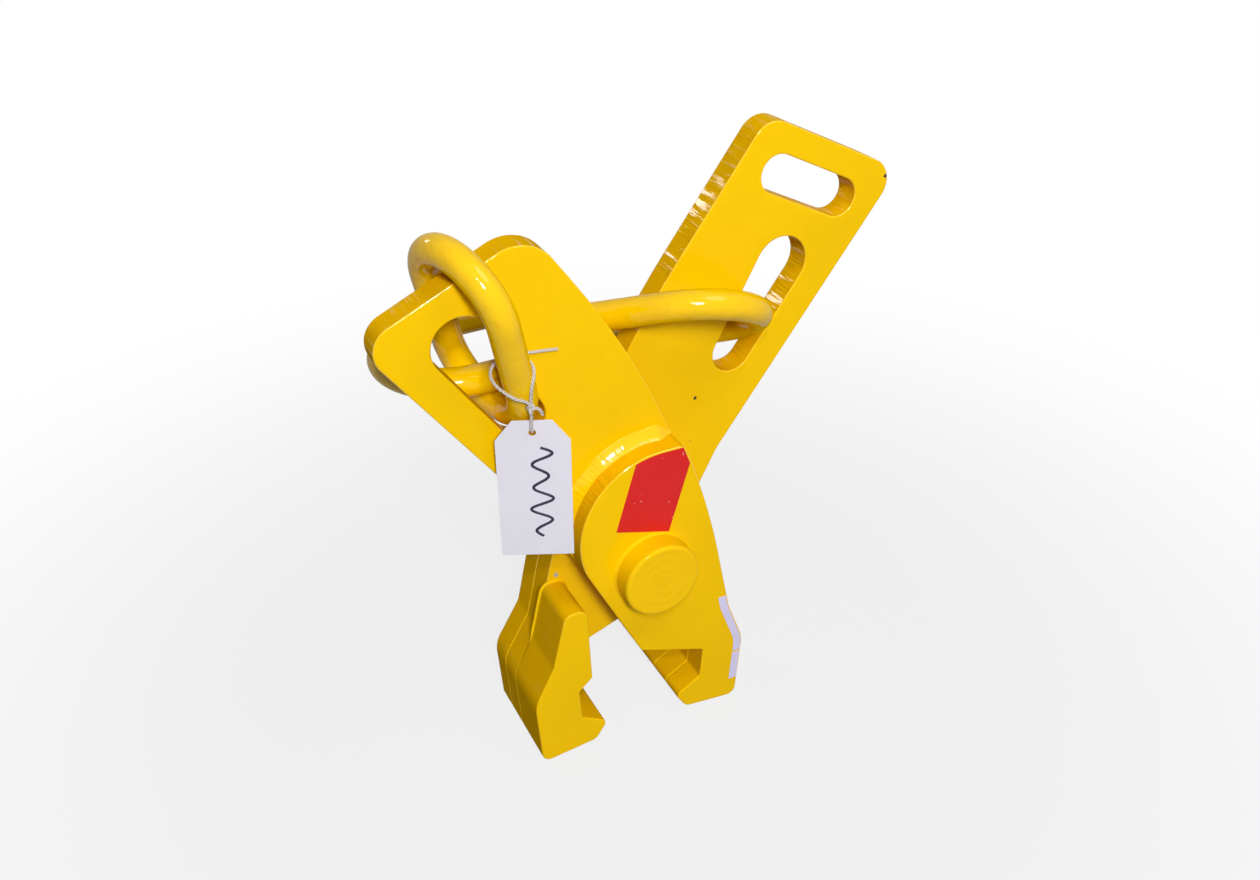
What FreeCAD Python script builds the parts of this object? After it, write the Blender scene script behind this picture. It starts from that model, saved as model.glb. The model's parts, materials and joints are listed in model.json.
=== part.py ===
import FreeCAD, Part
import math
import os

os.makedirs("parts", exist_ok=True)
V = FreeCAD.Vector

# Lifting tongs for rail: two crossed arms of flame-cut plate on one pin, a ring and two links
# between the upper ends, hooked jaws below. Sizes in millimetres, angles in degrees.
# Outlines are drawn for an arm whose upper end is on the right and whose jaw is on the left,
# from the pivot: first number to the right, second number up. The other arm is mirrored.

# Stack of plates along Y: cheek, arm, arm, cheek
plate_thickness = 25.0
arm_gap = 0.5
edge_round = 1.5

# Upper arms
arm_angle = 54.0
arm_width = 150.0
arm_outer_share = 0.22333
end_angle = -25.5
left_end_reach = 332.5
right_end_reach = 393.5
left_inner_corner = 36.0
right_inner_corner = 22.0
outer_corner = 22.0

# Hub and legs below the pivot
brow_angle = 63.0
brow_share = 0.338
brow_bend = 60.0
leg_angle = 78.0
right_leg_share = 0.44
left_leg_share = 0.49333
back_radius = 750.0
cheek_top = 119.7
cheek_round = 78.0
cheek_corner = 8.0
cheek_side_foot = 60.0

# Jaws: heel is the foot of the wall that bears on the side of the rail head
right_heel = 54.0
left_heel = 71.0
heel_depth = 150.5
seat_angle = 20.5
wall_lean = 2.5
wall_height = 32.5
lip_reach = 26.0
lip_drop = 15.5
lip_round = 6.0
lip_root = 14.0
lip_root_round = 9.0
foot_height = 40.0
foot_rise = 6.0
foot_reach = 41.0
foot_round = 9.0
bulge_reach = 46.2
bulge_height = 32.0
bulge_round = 34.0
waist_height = 76.0
waist_round = 20.0
jaw_round = 3.0

# Jaw blocks: horn that rises beside the arm plate
horn_height = 126.0
horn_round = 9.5
left_horn_inset = 11.0
right_horn_inset = 1.5
horn_taper = 4.0
horn_width = 29.0
step_height = 12.0
waist_reach = 27.0

# Welds
cheek_weld_leg = 7.0
jaw_weld_leg = 6.0
jaw_weld_foot = 64.0
pin_weld_leg = 2.0

# Slots in the upper arms
slot_angle = 58.3
slot_outer_place = 285.0
slot_outer_radius = 25.0
slot_inner_place = 198.0
slot_inner_radius = 19.0
cross_slot_depth = 40.5
cross_slot_radius = 17.0
cross_slot_pitch = 69.0

# Pivot
pin_diameter = 50.0
pin_shoulder = 11.0
pin_head_height = 22.0
pin_head_round = 3.0
pin_end_chamfer = 3.0
collar_height = 22.0
collar_clearance = 0.4
bush_wall = 6.0
running_clearance = 0.05
press_clearance = 0.02
roll_pin_diameter = 10.0
roll_pin_bore = 6.0

# Ring and links, all of one bar, as they lie; places are from the pivot, Y from the middle of the stack
bar_diameter = 25.7
ring_straight = 69.3
ring_end_radius = 45.2
link_straight = 74.5
link_end_radius = 57.1
ring_x = -132.5
ring_y = -2.4
ring_z = 240.2
ring_along = V(0.242, 0.250, -0.937)
ring_across = V(-0.323, 0.932, 0.166)
left_link_x = -92.8
left_link_y = 71.8
left_link_z = 189.5
left_link_along = V(0.997, 0.0755, -0.0126)
left_link_across = V(-0.0758, 0.997, -0.0289)
right_link_x = 37.5
right_link_y = 28.5
right_link_z = 197.5
right_link_along = V(0.683, -0.674, 0.281)
right_link_across = V(0.695, 0.482, -0.534)

# Labels
label_thickness = 0.3
label_margin = 0.2
red_label_width = 53.5
red_label_turn = -16.4
red_label_x = -35.0
red_label_z = 50.0
edge_label_width = 8.0
edge_label_top = -60.0
edge_label_joint = -133.0
edge_label_gap = 2.0
edge_label_foot = -168.0

# Tag and its string
tag_width = 60.0
tag_height = 130.0
tag_thickness = 0.8
tag_clip_x = 14.0
tag_clip_z = 18.0
tag_hole_diameter = 6.0
tag_hole_depth = 11.0
tag_turn = -24.0
tag_x = -105.7
tag_y = -46.2
tag_z = 167.4
string_diameter = 2.8
string_bend_share = 0.45
string_route = [
    V(-73.4, -26.9, 224.6),
    V(-84.0, -27.0, 226.0),
    V(-95.6, -27.3, 226.9),
    V(-106.5, -28.4, 229.4),
    V(-117.8, -27.6, 229.2),
    V(-128.6, -33.4, 225.0),
    V(-130.6, -44.6, 218.0),
    V(-122.4, -53.3, 212.2),
    V(-110.2, -54.4, 206.6),
    V(-107.6, -51.6, 193.4),
    V(-107.2, -50.2, 181.2),
    V(-107.6, -50.0, 170.6),
    V(-104.6, -44.0, 166.6),
]

arm_outer_offset = arm_outer_share * arm_width
brow_offset = brow_share * arm_width
right_leg_offset = right_leg_share * arm_width
left_leg_offset = left_leg_share * arm_width
pin_head_diameter = pin_diameter + 2 * pin_shoulder
collar_diameter = pin_head_diameter
ring_centre = V(ring_x, ring_y, ring_z)
left_link_centre = V(left_link_x, left_link_y, left_link_z)
right_link_centre = V(right_link_x, right_link_y, right_link_z)
tag_hole = V(tag_x, tag_y, tag_z)
half_gap = arm_gap / 2
front_cheek_front = -half_gap - 2 * plate_thickness
left_arm_front = -half_gap - plate_thickness
left_arm_back = -half_gap
right_arm_front = half_gap
right_arm_back = half_gap + plate_thickness
rear_cheek_back = half_gap + 2 * plate_thickness
far = 4 * (right_end_reach + heel_depth)
half_turn = 180.0
mesh_step = 0.1


def line(angle, offset):
    """Straight line at an angle, at an offset from the pivot towards its right-hand side."""
    turn = math.radians(angle)
    return math.sin(turn), -math.cos(turn), offset


def line_through(angle, point):
    across, up, _ = line(angle, 0)
    return across, up, across * point[0] + up * point[1]


def meet(first, second):
    a, b, c = first
    d, e, f = second
    scale = a * e - b * d
    return (c * e - b * f) / scale, (a * f - c * d) / scale


def polar(distance, angle):
    return distance * math.cos(math.radians(angle)), distance * math.sin(math.radians(angle))


def rounded(corners, y):
    """Closed wire at depth y through corners (x, z, radius), each one rounded."""
    cuts = []
    for index, (x, z, radius) in enumerate(corners):
        here = V(x, y, z)
        before = corners[index - 1]
        after = corners[(index + 1) % len(corners)]
        back = (V(before[0], y, before[1]) - here).normalize()
        on = (V(after[0], y, after[1]) - here).normalize()
        half_open = back.getAngle(on) / 2
        reach = radius / math.tan(half_open)
        middle = (back + on).normalize() * (radius / math.sin(half_open) - radius)
        cuts.append((here + back * reach, here + middle, here + on * reach))
    edges = []
    for index, (start, middle, stop) in enumerate(cuts):
        edges.append(Part.LineSegment(cuts[index - 1][2], start).toShape())
        edges.append(Part.Arc(start, middle, stop).toShape())
    return Part.Wire(edges)


def slab(wire, depth):
    return Part.Face(wire).extrude(V(0, depth, 0))


def hull(first, first_radius, second, second_radius, y):
    """Closed wire round two circles, as a slot or an obround."""
    ahead = V(second[0] - first[0], 0, second[1] - first[1])
    spread = math.degrees(math.acos((first_radius - second_radius) / ahead.Length))
    heading = math.degrees(math.atan2(ahead.z, ahead.x))

    def rim(centre, radius, angle):
        dx, dz = polar(radius, angle)
        return V(centre[0] + dx, y, centre[1] + dz)

    a = rim(first, first_radius, heading + spread)
    b = rim(first, first_radius, heading + half_turn)
    c = rim(first, first_radius, heading - spread)
    d = rim(second, second_radius, heading - spread)
    e = rim(second, second_radius, heading)
    f = rim(second, second_radius, heading + spread)
    edges = [Part.Arc(a, b, c).toShape(), Part.LineSegment(c, d).toShape()]
    edges += [Part.Arc(d, e, f).toShape(), Part.LineSegment(f, a).toShape()]
    return Part.Wire(edges)


def flip(corners, side):
    return [(side * x, z, radius) for x, z, radius in corners]


def rod(x, z, radius, start, stop):
    return Part.makeCylinder(radius, stop - start, V(x, start, z), V(0, 1, 0))


def soften(solid, faces_at):
    """Rounds the flame-cut edges in the outer faces at the given depths."""
    edges = []
    for edge in solid.Edges:
        box = edge.BoundBox
        if box.YLength < edge_round and any(abs(box.Center.y - y) < edge_round / 10 for y in faces_at):
            edges.append(edge)
    return solid.makeFillet(edge_round, edges)


class Arm:
    """Lines that an arm's plates share; side is +1 with the upper end on the right."""

    def __init__(self, side, end_reach, inner_corner, heel, leg_offset):
        self.side = side
        self.inner_corner = inner_corner
        self.heel = heel
        self.outer = line(arm_angle, arm_outer_offset)
        self.inner = line(arm_angle, arm_outer_offset - arm_width)
        self.end = line(end_angle, -end_reach)
        self.brow = line(brow_angle, brow_offset)
        self.leg = line(leg_angle, -leg_offset)
        self.seat = line_through(seat_angle, self.jaw(wall_lean, wall_height))
        self.end_reach = end_reach

    def jaw(self, out, up):
        """Point from the heel: out away from the rail, then up."""
        return -self.heel - out, up - heel_depth

    def hook(self):
        """Corners of the hooked foot, from the top of the wall round to the bulge."""
        return [
            (*self.jaw(wall_lean, wall_height), jaw_round),
            (*self.jaw(0, 0), jaw_round),
            (*self.jaw(-lip_reach, -lip_drop), lip_round),
            (*self.jaw(-lip_root, foot_rise - foot_height), lip_root_round),
            (*self.jaw(foot_reach, -foot_height), foot_round),
            (*self.jaw(bulge_reach, bulge_height), bulge_round),
        ]

    def outline(self):
        waist = line(0, heel_depth - waist_height)
        return flip([
            (*meet(self.end, self.outer), outer_corner),
            (*meet(self.outer, self.brow), brow_bend),
            (*meet(self.brow, self.seat), jaw_round),
            *self.hook(),
            (*meet(self.leg, waist), waist_round),
            (*meet(self.leg, self.inner), back_radius),
            (*meet(self.inner, self.end), self.inner_corner),
        ], self.side)

    def cheek_mask(self):
        """Round-topped region that a cheek keeps of the arm's outline; it opens out below the hub."""
        top = line(0, -cheek_top)
        side_foot = line(0, cheek_side_foot)
        return flip([
            (*meet(self.brow, top), cheek_round),
            (-far, cheek_top, outer_corner),
            (-far, -far, outer_corner),
            (far, -far, outer_corner),
            (*meet(self.brow, side_foot), outer_corner),
        ], self.side)

    def block_outline(self, inset):
        """Corners of a jaw block: the hook and a horn that stands on it."""
        return flip([
            *self.hook(),
            (*self.jaw(waist_reach, waist_height - foot_rise), waist_round),
            (*self.jaw(horn_width - inset - horn_taper, horn_height), horn_round),
            (*self.jaw(horn_taper - inset, horn_height), horn_round),
            (*self.jaw(-inset, wall_height + step_height), jaw_round),
        ], self.side)

    def slot(self, y):
        first = polar(slot_outer_place, slot_angle)
        second = polar(slot_inner_place, slot_angle)
        first = (self.side * first[0], first[1])
        second = (self.side * second[0], second[1])
        return hull(first, slot_outer_radius, second, slot_inner_radius, y)

    def cross_slot(self, y):
        """Slot along the end edge, in the middle of the arm's width."""
        row = line(end_angle, cross_slot_depth - self.end_reach)
        near = meet(row, self.inner)
        past = meet(row, self.outer)
        middle = ((near[0] + past[0]) / 2, (near[1] + past[1]) / 2)
        dx, dz = polar(cross_slot_pitch / 2, end_angle)
        first = (self.side * (middle[0] - dx), middle[1] - dz)
        second = (self.side * (middle[0] + dx), middle[1] + dz)
        return hull(first, cross_slot_radius, second, cross_slot_radius, y)


def arm_plate(arm, y, hole_radius, slots):
    plate = slab(rounded(arm.outline(), y), plate_thickness)
    plate = plate.cut(rod(0, 0, hole_radius, y, y + plate_thickness))
    for wire in slots:
        plate = plate.cut(slab(wire, plate_thickness))
    return soften(plate, (y, y + plate_thickness))


def cheek_plate(arm, y, hole_radius):
    plate = slab(rounded(arm.outline(), y), plate_thickness)
    plate = plate.common(slab(rounded(arm.cheek_mask(), y), plate_thickness))
    corner = max((e for e in plate.Edges if e.BoundBox.YLength > plate_thickness / 2),
                 key=lambda e: e.CenterOfMass.z - arm.side * e.CenterOfMass.x)
    plate = plate.makeFillet(cheek_corner, [corner])
    plate = plate.cut(rod(0, 0, hole_radius, y, y + plate_thickness))
    return soften(plate, (y, y + plate_thickness))


def jaw_block(arm, inset, start, stop):
    return soften(slab(rounded(arm.block_outline(inset), start), stop - start), (start, stop))


def bead(corners, y, toward, leg):
    """Tapered collar round an outline, widest on the plate face at depth y."""
    base = rounded(corners, y).makeOffset2D(leg)
    top = rounded(corners, y + toward * leg)
    return Part.makeLoft([base, top], True)


def cheek_weld(arm, plate_face, toward):
    """Fillet weld between a cheek's round top and the arm plate that it lies on."""
    depth = toward * cheek_weld_leg
    mask = rounded(arm.cheek_mask(), plate_face)
    collar = bead(arm.cheek_mask(), plate_face, toward, cheek_weld_leg)
    collar = collar.cut(slab(mask, depth))
    return collar.common(slab(rounded(arm.outline(), plate_face), depth))


def jaw_weld(arm, inset, plate_face, toward):
    """Fillet weld round the horn of a jaw block, clear of the rail's recess."""
    corners = arm.block_outline(inset)
    collar = bead(corners, plate_face, toward, jaw_weld_leg)
    collar = collar.cut(slab(rounded(corners, plate_face), toward * jaw_weld_leg))
    foot = jaw_weld_foot - heel_depth
    above = Part.makeBox(2 * far, 2 * far, far, V(-far, -far, foot))
    return collar.common(above)


def pivot_pin():
    """Headed pin from the front cheek through both arms and the collar."""
    head_front = front_cheek_front - pin_head_height
    head = rod(0, 0, pin_head_diameter / 2, head_front, front_cheek_front)
    rim = min(head.Edges, key=lambda e: e.CenterOfMass.y)
    head = head.makeFillet(pin_head_round, [rim])
    tail = rear_cheek_back + collar_clearance + collar_height + pin_end_chamfer
    shank = rod(0, 0, pin_diameter / 2, front_cheek_front, tail)
    end = max(shank.Edges, key=lambda e: e.CenterOfMass.y)
    shank = shank.makeChamfer(pin_end_chamfer, [end])
    return head.fuse(shank).removeSplitter().cut(cross_hole())


def collar_middle():
    return rear_cheek_back + collar_clearance + collar_height / 2


def cross_hole():
    radius = roll_pin_diameter / 2 + press_clearance
    start = V(0, collar_middle(), -collar_diameter)
    return Part.makeCylinder(radius, 2 * collar_diameter, start, V(0, 0, 1))


def pin_collar():
    start = rear_cheek_back + collar_clearance
    ring = rod(0, 0, collar_diameter / 2, start, start + collar_height)
    rim = max(ring.Edges, key=lambda e: e.CenterOfMass.y)
    ring = ring.makeFillet(pin_head_round, [rim])
    bore = pin_diameter / 2 + press_clearance
    return ring.cut(rod(0, 0, bore, start, start + collar_height)).cut(cross_hole())


def roll_pin():
    start = V(0, collar_middle(), -collar_diameter / 2 + pin_head_round / 2)
    length = collar_diameter - pin_head_round
    body = Part.makeCylinder(roll_pin_diameter / 2, length, start, V(0, 0, 1))
    return body.cut(Part.makeCylinder(roll_pin_bore / 2, length, start, V(0, 0, 1)))


def pivot_bush():
    bore = pin_diameter / 2 + running_clearance
    body = rod(0, 0, bore + bush_wall, right_arm_front, rear_cheek_back)
    return body.cut(rod(0, 0, bore, right_arm_front, rear_cheek_back))


def pin_weld():
    radius = pin_head_diameter / 2
    start = V(0, front_cheek_front, 0)
    cone = Part.makeCone(radius + pin_weld_leg, radius, pin_weld_leg, start, V(0, -1, 0))
    return cone.cut(rod(0, 0, radius, front_cheek_front - pin_weld_leg, front_cheek_front))


def bar_link(centre, along, across, straight, end_radius):
    """Closed oblong of round bar: two straight sides joined by half-circle ends."""
    along = V(along).normalize()
    normal = along.cross(across).normalize()
    across = normal.cross(along)
    solids = []
    for turn in (1, -1):
        ahead = along * turn
        hub = centre + ahead * (straight / 2)
        start = hub - across * (turn * end_radius)
        disc = Part.Face(Part.Wire(Part.makeCircle(bar_diameter / 2, start, ahead)))
        solids.append(disc.revolve(hub, normal, half_turn))
        solids.append(disc.extrude(ahead * -straight))
    return solids[0].fuse(solids[1:]).removeSplitter()


def on_front(wire):
    """Thin film on the front face of the front cheek."""
    return slab(wire, label_thickness)


def red_label():
    """Turned oblong sticker, trimmed by the cheek's edge."""
    y = front_cheek_front - label_thickness
    corner = V(red_label_x, y, red_label_z)
    spin = FreeCAD.Rotation(V(0, -1, 0), red_label_turn)
    along = spin.multVec(V(red_label_width, 0, 0))
    up = spin.multVec(V(0, 0, cheek_top))
    oblong = Part.makePolygon([corner, corner + along, corner + along + up, corner + up, corner])
    label = on_front(oblong)
    inset = -edge_round - label_margin
    for corners in (left_arm.cheek_mask(), left_arm.outline()):
        label = label.common(on_front(rounded(corners, y).makeOffset2D(inset)))
    return label


def edge_label(top, foot):
    """Strip beside the outer edge of the right jaw, between two heights."""
    y = front_cheek_front - label_thickness
    whole = on_front(rounded(left_arm.outline(), y))
    outer = whole.translated(V(-edge_round, 0, 0))
    inner = outer.translated(V(-edge_label_width, 0, 0))
    span = Part.makeBox(far, far, top - foot, V(right_heel + wall_lean, -far / 2, foot))
    return outer.cut(inner).common(span)


def tag():
    """Card that hangs upright from its hole, with both top corners clipped."""
    top = tag_hole_depth
    foot = tag_hole_depth - tag_height
    half = tag_width / 2
    back = tag_thickness / 2
    points = [(-half, foot), (half, foot), (half, top - tag_clip_z), (half - tag_clip_x, top)]
    points += [(tag_clip_x - half, top), (-half, top - tag_clip_z), (-half, foot)]
    card = slab(Part.makePolygon([V(x, -back, z) for x, z in points]), tag_thickness)
    card = card.cut(rod(0, 0, tag_hole_diameter / 2, -back, back))
    card.Placement = FreeCAD.Placement(tag_hole, FreeCAD.Rotation(V(0, 0, 1), tag_turn))
    return card


def tag_string():
    """String from its loose end round the ring's bar to the tag's hole."""
    edges = []
    last = string_route[0]
    radii = []
    for before, here, after in zip(string_route, string_route[1:], string_route[2:]):
        back = before - here
        on = after - here
        half_open = back.getAngle(on) / 2
        reach = string_bend_share * min(back.Length, on.Length)
        radius = reach * math.tan(half_open)
        radii.append(round(radius, 1))
        back.normalize()
        on.normalize()
        middle = (back + on).normalize() * (radius / math.sin(half_open) - radius)
        edges.append(Part.LineSegment(last, here + back * reach).toShape())
        edges.append(Part.Arc(here + back * reach, here + middle, here + on * reach).toShape())
        last = here + on * reach
    edges.append(Part.LineSegment(last, string_route[-1]).toShape())
    path = Part.Wire(edges)
    start = Part.makeCircle(string_diameter / 2, string_route[0], string_route[1] - string_route[0])
    tube = path.makePipeShell([Part.Wire(start)], True, False)
    section = math.pi * string_diameter ** 2 / 4
    print("string radii", radii, "volume over section times length", tube.Volume / section / path.Length)
    return tube


left_arm = Arm(-1, left_end_reach, left_inner_corner, right_heel, right_leg_offset)
right_arm = Arm(1, right_end_reach, right_inner_corner, left_heel, left_leg_offset)
pin_hole = pin_diameter / 2 + press_clearance
bush_hole = pin_diameter / 2 + running_clearance + bush_wall + press_clearance

shapes = {
    "left_arm_plate": arm_plate(left_arm, left_arm_front, pin_hole, [left_arm.slot(left_arm_front)]),
    "front_cheek": cheek_plate(left_arm, front_cheek_front, pin_hole),
    "right_jaw_block": jaw_block(left_arm, right_horn_inset, left_arm_back, rear_cheek_back),
    "front_cheek_weld": cheek_weld(left_arm, left_arm_front, -1),
    "right_jaw_weld": jaw_weld(left_arm, right_horn_inset, left_arm_back, 1),
    "right_arm_plate": arm_plate(right_arm, right_arm_front, bush_hole,
                                 [right_arm.slot(right_arm_front), right_arm.cross_slot(right_arm_front)]),
    "rear_cheek": cheek_plate(right_arm, right_arm_back, bush_hole),
    "left_jaw_block": jaw_block(right_arm, left_horn_inset, front_cheek_front, right_arm_front),
    "rear_cheek_weld": cheek_weld(right_arm, right_arm_back, 1),
    "left_jaw_weld": jaw_weld(right_arm, left_horn_inset, right_arm_front, -1),
    "pivot_pin": pivot_pin(),
    "pin_weld": pin_weld(),
    "pin_collar": pin_collar(),
    "collar_roll_pin": roll_pin(),
    "pivot_bush": pivot_bush(),
    "lifting_ring": bar_link(ring_centre, ring_along, ring_across, ring_straight, ring_end_radius),
    "left_link": bar_link(left_link_centre, left_link_along, left_link_across,
                          link_straight, link_end_radius),
    "right_link": bar_link(right_link_centre, right_link_along, right_link_across,
                           link_straight, link_end_radius),
    "red_label": red_label(),
    "jaw_label_upper": edge_label(edge_label_top, edge_label_joint),
    "jaw_label_lower": edge_label(edge_label_joint - edge_label_gap, edge_label_foot),
    "tag": tag(),
    "tag_string": tag_string(),
}

# The finished tongs stand on the floor, over the middle of their own footprint
on_string = ("tag", "tag_string")
points = [p for name in shapes if name not in on_string for p in shapes[name].tessellate(mesh_step)[0]]
low = V(min(p.x for p in points), min(p.y for p in points), min(p.z for p in points))
high = V(max(p.x for p in points), max(p.y for p in points), max(p.z for p in points))
move = V(-(low.x + high.x) / 2, -(low.y + high.y) / 2, -low.z)
print("pivot at", move)

for name, shape in shapes.items():
    print(name, shape.isValid(), len(shape.Solids), round(shape.Volume))
    shape.translated(move).exportStep("parts/" + name + ".step")
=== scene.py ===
"""Looks of a pair of rail lifting tongs.

Glossy yellow paint over flame-cut plate, weld beads, stickers, and a card tag on a string.
"""
import json
import math

import bpy
import bmesh
from mathutils import Matrix, Vector
from bpy.props import FloatProperty, FloatVectorProperty, IntProperty, PointerProperty


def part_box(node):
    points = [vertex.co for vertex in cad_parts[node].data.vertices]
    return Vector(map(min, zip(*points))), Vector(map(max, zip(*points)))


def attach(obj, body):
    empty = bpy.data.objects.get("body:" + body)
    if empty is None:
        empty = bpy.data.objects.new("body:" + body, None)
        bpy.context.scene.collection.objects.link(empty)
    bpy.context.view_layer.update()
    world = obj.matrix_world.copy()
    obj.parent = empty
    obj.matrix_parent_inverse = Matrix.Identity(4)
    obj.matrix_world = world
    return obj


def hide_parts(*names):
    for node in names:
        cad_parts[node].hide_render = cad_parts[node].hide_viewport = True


bl_info = {
    "name": "Rail lifting tongs",
    "version": (1, 0, 0),
    "blender": (4, 5, 0),
    "location": "View3D > Sidebar > Tongs",
    "description": "Paint, welds, stickers, tag and stage for a pair of rail lifting tongs",
    "category": "Object",
}

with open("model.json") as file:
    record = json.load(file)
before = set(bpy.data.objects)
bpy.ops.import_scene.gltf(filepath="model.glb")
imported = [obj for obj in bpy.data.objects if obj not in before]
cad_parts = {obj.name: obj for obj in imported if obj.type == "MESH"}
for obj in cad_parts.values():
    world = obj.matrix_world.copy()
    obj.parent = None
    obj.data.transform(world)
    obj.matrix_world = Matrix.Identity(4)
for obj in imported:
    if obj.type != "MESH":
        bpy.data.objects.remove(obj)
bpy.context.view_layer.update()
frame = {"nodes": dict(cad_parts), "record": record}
nodes = frame["nodes"]
joints = {joint["name"]: joint for joint in frame["record"]["behaviour"]["joints"]}
pivot = Vector(joints["jaw_pivot"]["pos_m"])
tag_hole = Vector(joints["tag_swing"]["pos_m"])
MM = 0.001

# Socket types of node groups
VALUE = "NodeSocketFloat"
VECTOR = "NodeSocketVector"
SHAPE = "NodeSocketGeometry"

PLATES = ("left_arm_plate", "front_cheek", "right_jaw_block",
          "right_arm_plate", "rear_cheek", "left_jaw_block")
BARS = ("lifting_ring", "left_link", "right_link")
TURNED = ("pivot_pin", "pin_collar")
# Each weld's body, and the way along Y that its bead faces
WELDS = {
    "front_cheek_weld": ("front_arm", -1), "right_jaw_weld": ("front_arm", 1),
    "rear_cheek_weld": ("rear_arm", 1), "left_jaw_weld": ("rear_arm", -1),
}
# Bare metals: colour and least roughness, and how much rougher a scratch is
METALS = {"collar_roll_pin": ((0.42, 0.42, 0.43), 0.34), "pivot_bush": ((0.5, 0.3, 0.1), 0.3)}
METAL_WEAR = 0.15
# Stickers: the setting that colours each, and the noise level above which it has a speck; then how
# softly a speck starts and its colour
FILMS = {"red_label": ("red", 0.765), "jaw_label_upper": ("pale", 0.78), "jaw_label_lower": ("pale", 0.78)}
SPECK_FADE = 0.04
SPECK = (0.8, 0.6, 0.55)
INK_THICK = (0.004, 0.005, 0.022)
INK_THIN = (0.01, 0.013, 0.045)

# Colours under knocked-off paint
RUST = (0.06, 0.036, 0.03)
PRIMER = (0.4, 0.38, 0.36)
SCUFF = (0.5, 0.3, 0.03)
# Chips in one plate's paint: place from the pivot and radius in millimetres, and the colour below
CHIPPED = "right_arm_plate"
CHIPS = (
    ((68.0, 0.3, 130.5), 1.8, RUST), ((252.0, 0.3, 305.1), 2.0, RUST),
    ((-71.6, 0.3, -18.2), 2.6, PRIMER), ((64.3, 0.3, 86.8), 1.1, SCUFF),
)
# How ragged a chip of radius 1 is
CHIP_RAGGED = 1.6

# Waves of each pattern on a metre
CUT_PATCHES = 26.0
CHIP_RAGS = 420.0
BEAD_LUMPS = 75.0
WELD_LUMPS = 190.0
BAR_DENTS = 90.0
PIN_STROKES = 60.0
METAL_SCRATCHES = 900.0
FILM_SPECKS = 330.0
FILM_CLOUDS = 60.0
FILM_DULLING = 40.0
FILM_WAVES = 160.0
CARD_FIBRES = 900.0
CARD_CLOUDS = 45.0
INK_FADE = 700.0
STRING_FUZZ = 2600.0

# Bumps: depth and the strength at which they show
PEEL_BUMP = (0.22 * MM, 0.5)
CUT_BUMP = (1.8 * MM, 0.85)
LUMP_BUMP = (1.8 * MM, 0.6)
DENT_BUMP = (1.6 * MM, 0.5)
RING_BUMP = (0.22 * MM, 0.36)
SCRATCH_BUMP = (0.05 * MM, 0.5)
FILM_BUMP = (0.12 * MM, 0.4)
CARD_BUMP = (0.04 * MM, 0.6)
INK_BUMP = (0.01 * MM, 0.4)
FUZZ_BUMP = (0.08 * MM, 0.7)

# Brightness of each finish's darker patches, as a share of its colour
PAINT_DARK = 0.95
METAL_DARK = 0.7
FILM_DARK = 0.88
CARD_DARK = 0.93
FIBRE_DARK = 0.8
STRING_DARK = 0.62

# Least and most roughness, and the strength of reflections
FILM_ROUGHNESS = (0.32, 0.45)
CARD_ROUGHNESS = (0.55, 0.7)
INK_ROUGHNESS = (0.4, 0.6)
STRING_ROUGHNESS = (0.75, 0.95)
FLOOR_ROUGHNESS = 0.9
FILM_SPECULAR = 0.25
CARD_SPECULAR = 0.2

# Weight of the clear gloss on each kind of paint, its roughness, and that of a chip
PLATE_SHINE = 0.1
LINE_SHINE = 0.8
WELD_SHINE = 0.5
BAR_SHINE = 0.42
PIN_SHINE = 0.15
GLOSS_ROUGHNESS = 0.06
CHIP_ROUGHNESS = 0.8

# Brushed paint: scale of its runs and patches against its orange peel, the heights of peel and runs,
# and the roughness that a dull patch adds
RUN_SHARE = 0.16
PATCH_SHARE = 0.05
PEEL_HEIGHT = 0.35
RUN_HEIGHT = 1.6
MOST_DULL = 0.12
# Scale of stretched patterns along X, Y and Z
CUT_STRETCH = (1.0, 0.07, 1.0)
METAL_STRETCH = (1.0, 1.0, 0.1)
CARD_STRETCH = (1.0, 1.0, 0.35)
# Height over which the ground part of a flame-cut edge fades
GRIND_FADE = 60 * MM
# Rings on a turned face: radians on a metre, and how far brush strokes push them aside
RING_TURN = 700.0
RING_WANDER = 9.0

# Weld bead: step along its path, share of its width that is lumpy, share of its length that tapers, and
# share of its width that is left at its ends
BEAD_STEP = 0.9 * MM
BEAD_UNEVEN = 0.55
BEAD_TAPER = 0.1
BEAD_END = 0.2
# The bead's cross-section for a leg of 1: its hollow face from toe to crest, and its root
TOE = (0.75, -0.05, 0.0)
HOLLOW = (0.26, 0.34, 0.0)
CREST = (-0.02, 1.0, 0.0)
ROOT = (-0.05, -0.05, 0.0)
# Steps across the bead's face, and the most corners of an end that is closed
BEAD_FACE_STEPS = 9
BEAD_END_CORNERS = 40
# Height above the pivot where a cheek's bead starts, with enough plate beside it
CHEEK_BEAD_FROM = 24 * MM
# How near a level points count as on it, and how near each other points of a bead are merged
ON_LEVEL = 0.05 * MM
SEAM = 0.02 * MM

# The string's route from its loose end to the tag's hole, from the pivot in millimetres
STRING_ROUTE = (
    (-73.4, -26.9, 224.6), (-84.0, -27.0, 226.0), (-95.6, -27.3, 226.9), (-106.5, -28.4, 229.4),
    (-117.8, -27.6, 229.2), (-132.4, -32.4, 225.4), (-136.0, -43.6, 218.0), (-122.6, -53.3, 205.0),
    (-110.2, -53.6, 200.0), (-107.8, -51.4, 191.0), (-107.2, -50.2, 181.2), (-107.6, -50.0, 170.6),
    (-104.6, -44.0, 166.6),
)
# The knot and its two ends: one goes up and round the ring's bar, the other stands off to the right
KNOT = (-108.2, -51.8, 192.5)
KNOT_LEG = (KNOT, (-107.6, -52.4, 203.0), (-106.8, -53.2, 213.0), (-101.4, -47.2, 221.0),
            (-101.6, -39.0, 227.0), (-106.5, -31.6, 229.5))
KNOT_TAIL = (KNOT, (-103.6, -52.6, 192.6), (-99.6, -52.2, 188.8), (-98.4, -51.6, 184.4))
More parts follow.
